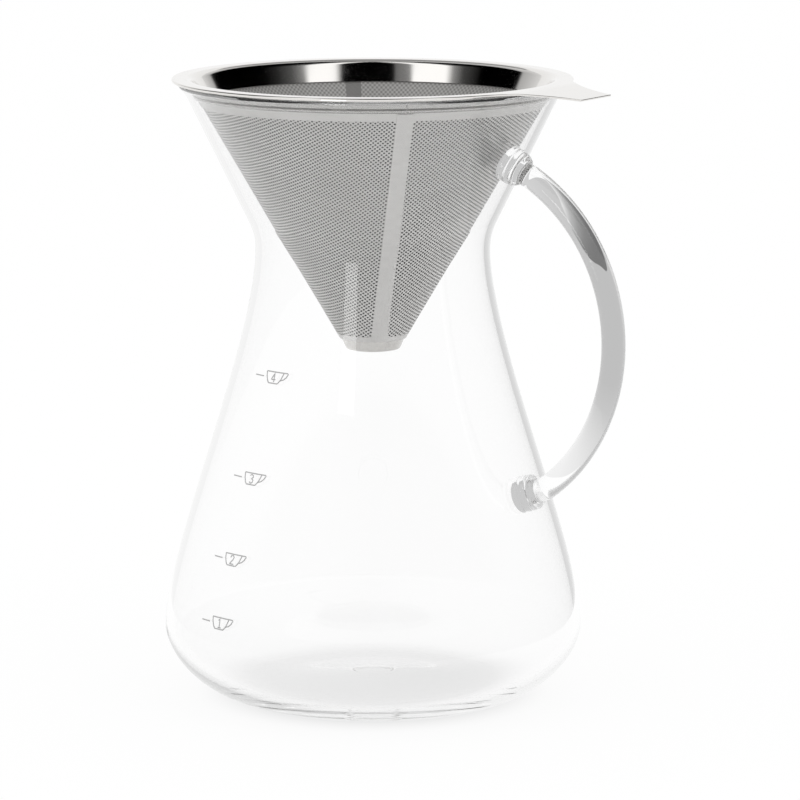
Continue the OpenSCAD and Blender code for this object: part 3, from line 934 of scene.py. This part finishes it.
# strokes of one cup and of the four numerals, in millimetres about the cup's middle
cupStrokes = [
    [(-3.7, 1.8), (5.1, 1.8)],
    [(-3.7, 1.8), (-3.5, 0.3), (-2.9, -1.1), (-2.3, -1.8), (1.4, -1.8)]
    + [(1.9, -1.4), (2.7, -0.4), (3.3, 1.0), (3.6, 1.8)],
    [(5.1, 1.8), (5.3, 1.5), (4.7, 0.5), (3.8, -0.3), (2.4, -0.75)],
]
numerals = {
    "1": [[(-0.5, 0.9), (0.1, 1.4), (0.1, -1.3)], [(-0.6, -1.3), (0.8, -1.3)]],
    "2": [[(-0.8, 0.7), (-0.5, 1.3), (0.3, 1.4), (0.7, 0.8), (0.4, 0.1), (-0.9, -1.3), (0.9, -1.3)]],
    "3": [
        [(-0.8, 1.0), (-0.2, 1.4), (0.5, 1.1), (0.6, 0.5), (-0.1, 0.1)]
        + [(0.7, -0.3), (0.6, -1.0), (-0.1, -1.4), (-0.8, -1.0)]
    ],
    "4": [[(0.3, -1.4), (0.3, 1.4), (-0.9, -0.6), (0.9, -0.6)]],
}
points, faces = [], []


def addStroke(line, turn, middleZ):
    line = [np.array(p, float) for p in line]
    fine = []
    for a, b in zip(line[:-1], line[1:]):
        count = max(1, int(np.linalg.norm(b - a) / marks["stepMm"]))
        fine += [a + (b - a) * i / count for i in range(count)]
    fine = np.array(fine + [line[-1]])
    ways = np.gradient(fine, axis=0)
    ways /= np.linalg.norm(ways, axis=1)[:, None]
    start = len(points)
    for p, w in zip(fine, ways):
        side = np.array([-w[1], w[0]]) * marks["strokeMm"] / 2
        under, top = marks["clearMm"], marks["inkMm"]
        for at, lift in ((p + side, under), (p - side, under), (p - side, top), (p + side, top)):
            z = middleZ + at[1] * wallSpot(middleZ)[1][0]
            out = wallSpot(z)[1]
            a = radians(turn) + at[0] / outerR(z)
            r = outerR(z) + lift * out[0]
            points.append(placeAt(r, a, z + lift * out[1]))
    faces.extend(tuple(start + v for v in quad) for quad in rowFaces(len(fine), 4))
    faces.append(tuple(start + k for k in range(4)))
    faces.append(tuple(start + (len(fine) - 1) * 4 + k for k in range(4)))


for digit, (turn, z) in marks["places"].items():
    tickStart = marks["tickAt"] - marks["tickMm"] / 2
    addStroke([(tickStart, 0), (tickStart + marks["tickMm"], 0)], turn, z)
    for stroke in cupStrokes:
        addStroke(stroke, turn, z)
    for stroke in numerals[digit]:
        addStroke([(x + marks["numeralAt"], y) for x, y in stroke], turn, z)
cupMarks = outwardNormals(newPiece("cupMarks", points, faces, streaked["screenPrintedEnamel"], smooth=False))
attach(cupMarks, "carafe")

print("stage: studio")
studio = dict(
    floorHalf=6.0,
    floorDrop=0.0002,
    floorColour="#fbfbfb",
    worldGlow=1.0,
    liftNear=0.74,  # how far the floor is lifted to white under the object and away from it
    liftFar=0.95,
    nearMm=32.0,
    farMm=58.0,
    cameraTurn=-57.5,
    cameraRise=9.81,
    cameraAway=1.4,
    lensMm=199.1,
    aim=(8.54, -6.01, 100.0),  # right, up and height of the aim, mm
)
white = (1, 1, 1, 1)


# the way out from the middle of the set, at a turn from the camera and a rise, both in degrees
def direction(turn, rise):
    a, e = radians(studio["cameraTurn"] + turn), radians(rise)
    return Vector((cos(e) * cos(a), cos(e) * sin(a), sin(e)))


def hideFrom(item, *rays):
    for ray in rays:
        setattr(item, "visible_" + ray, False)


# one grey for each corner of a stage item
def setTones(item, name, tones):
    shade = item.data.color_attributes.new(name, "FLOAT_COLOR", "POINT")
    for i, tone in enumerate(tones):
        shade.data[i].color = (tone, tone, tone, 1.0)


floorMaterial, tree = newMaterial("paleFloor")
paint = addNode(tree, "ShaderNodeBsdfDiffuse", {"Color": hexColour(studio["floorColour"])})
ray = addNode(tree, "ShaderNodeLightPath")
seen = ray.outputs["Is Camera Ray"]
for kind in ("Is Glossy Ray", "Is Transmission Ray"):
    seen = addNode(tree, "ShaderNodeMath", {0: seen, 1: ray.outputs[kind]}, operation="MAXIMUM")
place = addNode(tree, "ShaderNodeNewGeometry")
around = addNode(tree, "ShaderNodeVectorMath", {0: place}, operation="LENGTH")
fade = addNode(tree, "ShaderNodeMapRange", {
    "Value": around.outputs["Value"],
    "From Min": studio["nearMm"] * mm,
    "From Max": studio["farMm"] * mm,
    "To Min": studio["liftNear"],
    "To Max": studio["liftFar"],
}, interpolation_type="SMOOTHSTEP")
lift = addNode(tree, "ShaderNodeMath", {0: seen, 1: fade}, operation="MULTIPLY")
glow = addNode(tree, "ShaderNodeEmission", {"Color": white, "Strength": 1.0})
both = addNode(tree, "ShaderNodeMixShader", {0: lift, 1: paint, 2: glow})
addNode(tree, "ShaderNodeOutputMaterial", {"Surface": both})
s, z = studio["floorHalf"], -studio["floorDrop"]
floor = newPiece("floor", [(-s, -s, z), (s, -s, z), (s, s, z), (-s, s, z)], [(0, 1, 2, 3)], floorMaterial)

# one white all round, at which a colour renders as it is written
world = bpy.data.worlds.new("studioWhite")
scene.world = world
world.use_nodes = True
tree = world.node_tree
tree.nodes.clear()
glow = addNode(tree, "ShaderNodeBackground", {"Color": white, "Strength": studio["worldGlow"]})
addNode(tree, "ShaderNodeOutputWorld", {"Surface": glow})

# a ring of flags and open gaps round the set, which only reflections show
flagRing = dict(top=89.5, away=2.2, middleZ=0.19, turns=353, rises=12)
flagStops = [
    (-180, 0.35, 32), (-152, 0.35, 32), (-149, 0.8, 8), (-129, 0.5, 10), (-127, 0.0, 11),
    (-94, 0.0, 25), (-80, 0.06, 27), (-72, 0.3, 29), (-66, 1.3, 31), (-38, 1.3, 34),
    (-35, 0.25, 36), (-22, 0.18, 40), (-20, 0.0, 42), (29, 0.0, 42), (35, 1.3, 38),
    (58, 1.3, 34), (62, 0.28, 32), (72, 0.09, 30), (84, 0.02, 27), (94, 0.0, 25),
    (140, 0.0, 8), (142, 0.5, 8), (152, 0.8, 8), (155, 0.35, 32), (180, 0.35, 32),
]  # turn from the camera in degrees, tone, and the rise of the ring's lower edge
flagMaterial, tree = newMaterial("flagCloth")
cloth = addNode(tree, "ShaderNodeAttribute", attribute_name="tone")
glow = addNode(tree, "ShaderNodeEmission", {"Color": cloth, "Strength": 1.0})
addNode(tree, "ShaderNodeOutputMaterial", {"Surface": glow})
stopTurns, stopTones, stopRises = zip(*flagStops)
points, tones = [], []
for turn in np.linspace(stopTurns[0], stopTurns[-1], flagRing["turns"]):
    lowRise = np.interp(turn, stopTurns, stopRises)
    for rise in np.linspace(lowRise, flagRing["top"], flagRing["rises"] + 1):
        points.append(Vector((0, 0, flagRing["middleZ"])) + flagRing["away"] * direction(turn, rise))
        tones.append(np.interp(turn, stopTurns, stopTones))
faces = rowFaces(flagRing["turns"], flagRing["rises"] + 1, ringed=False)
ring = newPiece("flagRing", points, faces, flagMaterial)
setTones(ring, "tone", tones)
hideFrom(ring, "camera", "diffuse", "shadow", "transmission")

# tests of what a ray has been through, for the wall and the cards below
rayTests = dict(
    once=("Transmission Depth", "LESS_THAN", 2.5),  # through one solid, or one wall
    many=("Transmission Depth", "GREATER_THAN", 5.5),  # through a foot and the hollow body
    thrown=("Glossy Depth", "GREATER_THAN", 0.5),  # thrown back inside the glass
    straight=("Glossy Depth", "LESS_THAN", 0.5),
    direct=("Diffuse Depth", "LESS_THAN", 0.5),  # not off the floor
)


# 1 for a ray that passes all of the tests, or else 0
def passing(tree, *tests):
    ray = addNode(tree, "ShaderNodeLightPath")
    result = 1.0
    for name in tests:
        part, kind, limit = rayTests[name]
        test = addNode(tree, "ShaderNodeMath", {0: ray.outputs[part], 1: limit}, operation=kind)
        result = addNode(tree, "ShaderNodeMath", {0: result, 1: test}, operation="MULTIPLY")
    return result


# a surface that shows its tone to some rays and lets all others through
def toneFor(tree, rays, tone):
    clear = addNode(tree, "ShaderNodeBsdfTransparent")
    glow = addNode(tree, "ShaderNodeEmission", {"Color": white, "Strength": tone})
    sides = {0: rays, 1: clear, 2: glow}
    shown = addNode(tree, "ShaderNodeMixShader", sides)
    addNode(tree, "ShaderNodeOutputMaterial", {"Surface": shown})


# a grey wall round the set, which shows only in the edge of the body's wall and through the handle's feet,
# so that these take its tone and the hollow body stays clear
greyWall = dict(away=0.22, high=0.4, footTone=0.82, edgeTone=0.56, rows=100, steps=180)
footRises = [
    (0.0, 0.95), (0.015, 0.9), (0.035, 0.8), (0.05, 0.66), (0.062, 0.54),
    (0.075, 0.52), (0.14, 0.54), (0.17, 0.68), (0.2, 0.78), (0.4, 0.82),
]  # height and tone, for the feet
footTurns = [(0, 0.0), (20, 1.0), (200, 1.0), (285, 0.9), (305, 0.0), (360, 0.0)]  # turn and strength of it
edgeTurns = [(0, 1.0), (145, 1.0), (168, 0.8), (182, 0.3), (330, 0.3), (360, 1.0)]  # the same for the edges
wallMaterial, tree = newMaterial("greyWall")
edgeRays = passing(tree, "once", "thrown", "direct")
footRays = passing(tree, "many", "direct")
either = addNode(tree, "ShaderNodeMath", {0: edgeRays, 1: footRays}, operation="ADD")
footTone = addNode(tree, "ShaderNodeAttribute", attribute_name="tone")
edgeTone = addNode(tree, "ShaderNodeAttribute", attribute_name="edge")
tone = addNode(
    tree,
    "ShaderNodeMix",
    {"Factor": passing(tree, "thrown"), "A": footTone.outputs["Fac"], "B": edgeTone.outputs["Fac"]},
)
toneFor(tree, either, tone)
points, tones, edges = [], [], []
for k in range(greyWall["steps"]):
    turn = 360 * k / greyWall["steps"]
    for z in np.linspace(0, greyWall["high"], greyWall["rows"] + 1):
        points.append(greyWall["away"] * direction(turn, 0) + Vector((0, 0, z)))
        darker = (1 - np.interp(z, *zip(*footRises))) * np.interp(turn, *zip(*footTurns))
        tones.append(greyWall["footTone"] * (1 - darker))
        edges.append(1 - (1 - greyWall["edgeTone"]) * np.interp(turn, *zip(*edgeTurns)))
faces = rowFaces(greyWall["steps"], greyWall["rows"] + 1, ringed=False, looped=True)
screen = newPiece("greyWall", points, faces, wallMaterial)
setTones(screen, "tone", tones)
setTones(screen, "edge", edges)
hideFrom(screen, "camera", "diffuse", "glossy", "shadow")

# cards beside the handle, meant for the solid rod, which show through one solid or one glass wall: a small
# dark one close behind its upper half, as a dark lens on its outer side, and a grey one on each side, pale
# at its foot and clear of the body
handleCard = dict(back=16.0, apart=1.0, inner=43.0, greyOuter=240.0)
darkRows = [
    (158.0, 60.0, 0.8), (156.5, 66.0, 0.62), (155.0, 70.0, 0.46), (152.0, 72.3, 0.3), (149.0, 74.0, 0.21),
    (145.0, 74.6, 0.16), (142.0, 73.4, 0.15), (139.5, 71.2, 0.15), (137.5, 69.5, 0.15), (136.0, 68.0, 0.15),
    (135.0, 64.0, 0.15),
]  # height, outer end and tone
greyRows = [
    (230.0, 78.0, 0.66), (195.0, 65.0, 0.64), (170.0, 51.0, 0.62), (158.0, 45.0, 0.56), (140.0, 42.0, 0.5),
    (120.0, 45.0, 0.5), (104.0, 48.0, 0.5), (96.0, 51.0, 0.55), (88.0, 54.0, 0.68), (80.0, 57.0, 0.8),
    (72.0, 60.0, 0.87), (40.0, 68.0, 0.92), (10.0, 70.0, 0.95),
]  # height, inner end and tone
cardMaterial, tree = newMaterial("handleCard")
paper = addNode(tree, "ShaderNodeAttribute", attribute_name="tone")
toneFor(tree, passing(tree, "once", "straight", "direct"), paper.outputs["Fac"])
cards = [(handleCard["back"], [(z, handleCard["inner"], outer, tone) for z, outer, tone in darkRows])]
for side in (1, -1):
    greyY = side * (handleCard["back"] + handleCard["apart"])
    cards.append((greyY, [(z, inner, handleCard["greyOuter"], tone) for z, inner, tone in greyRows]))
points, faces, tones = [], [], []
for y, rows in cards:
    start = len(points)
    for z, inner, outer, tone in rows:
        points += [(inner * mm, y * mm, z * mm), (outer * mm, y * mm, z * mm)]
        tones += [tone, tone]
    faces += [tuple(start + v for v in quad) for quad in rowFaces(len(rows), 2, ringed=False)]
card = newPiece("handleCard", points, faces, cardMaterial)
setTones(card, "tone", tones)
hideFrom(card, "camera", "diffuse", "glossy", "shadow")

# a narrow light close to the glass, which only reflections show, as a soft streak over the cone
stripLight = dict(turn=-17.4, wide=9.8, low=-11.6, high=12.1, away=0.119, middleZ=0.15, strength=4.4)
stripMaterial, tree = newMaterial("stripLight")
glow = addNode(tree, "ShaderNodeEmission", {"Color": white, "Strength": stripLight["strength"]})
addNode(tree, "ShaderNodeOutputMaterial", {"Surface": glow})
points = []
for across, rise in ((-0.5, "low"), (0.5, "low"), (0.5, "high"), (-0.5, "high")):
    way = direction(stripLight["turn"] + across * stripLight["wide"], stripLight[rise])
    points.append(Vector((0, 0, stripLight["middleZ"])) + stripLight["away"] * way)
strip = newPiece("stripLight", points, [(0, 1, 2, 3)], stripMaterial)
hideFrom(strip, "camera", "diffuse", "transmission", "shadow")

lamps = [
    dict(name="leftBox", turn=-48, rise=42, away=1.5, aimZ=0.1, size=0.7, watts=1.6),
    dict(name="rightBox", turn=44, rise=44, away=1.5, aimZ=0.1, size=0.7, watts=1.6),
]
for lamp in lamps:
    light = bpy.data.lights.new(lamp["name"], "AREA")
    light.shape = "SQUARE"
    light.size = lamp["size"]
    light.energy = lamp["watts"]
    lampBox = bpy.data.objects.new(lamp["name"], light)
    scene.collection.objects.link(lampBox)
    way = direction(lamp["turn"], lamp["rise"])
    lampBox.location = Vector((0, 0, lamp["aimZ"])) + lamp["away"] * way
    lampBox.rotation_euler = (-way).to_track_quat("-Z", "Y").to_euler()
    hideFrom(lampBox, "camera", "glossy", "transmission")

camera = bpy.data.objects.new("camera", bpy.data.cameras.new("camera"))
scene.collection.objects.link(camera)
back = direction(0, studio["cameraRise"])
right = direction(90, 0)
up = back.cross(right)
middle = Vector((0, 0, studio["aim"][2] * mm))
camera.location = middle + back * studio["cameraAway"]
look = middle + right * studio["aim"][0] * mm + up * studio["aim"][1] * mm - camera.location
camera.rotation_euler = look.to_track_quat("-Z", "Y").to_euler()
camera.data.lens = studio["lensMm"]
camera.data.sensor_width = 36.0
camera.data.clip_end = 50
scene.camera = camera
scene.view_settings.view_transform = "Standard"
scene.cycles.max_bounces = 96  # glass behind glass needs many turns of a ray
scene.cycles.transmission_bounces = 96
scene.cycles.glossy_bounces = 96
scene.cycles.caustics_refractive = False  # the floor under the glass keeps a plain shadow

print("stage: done")
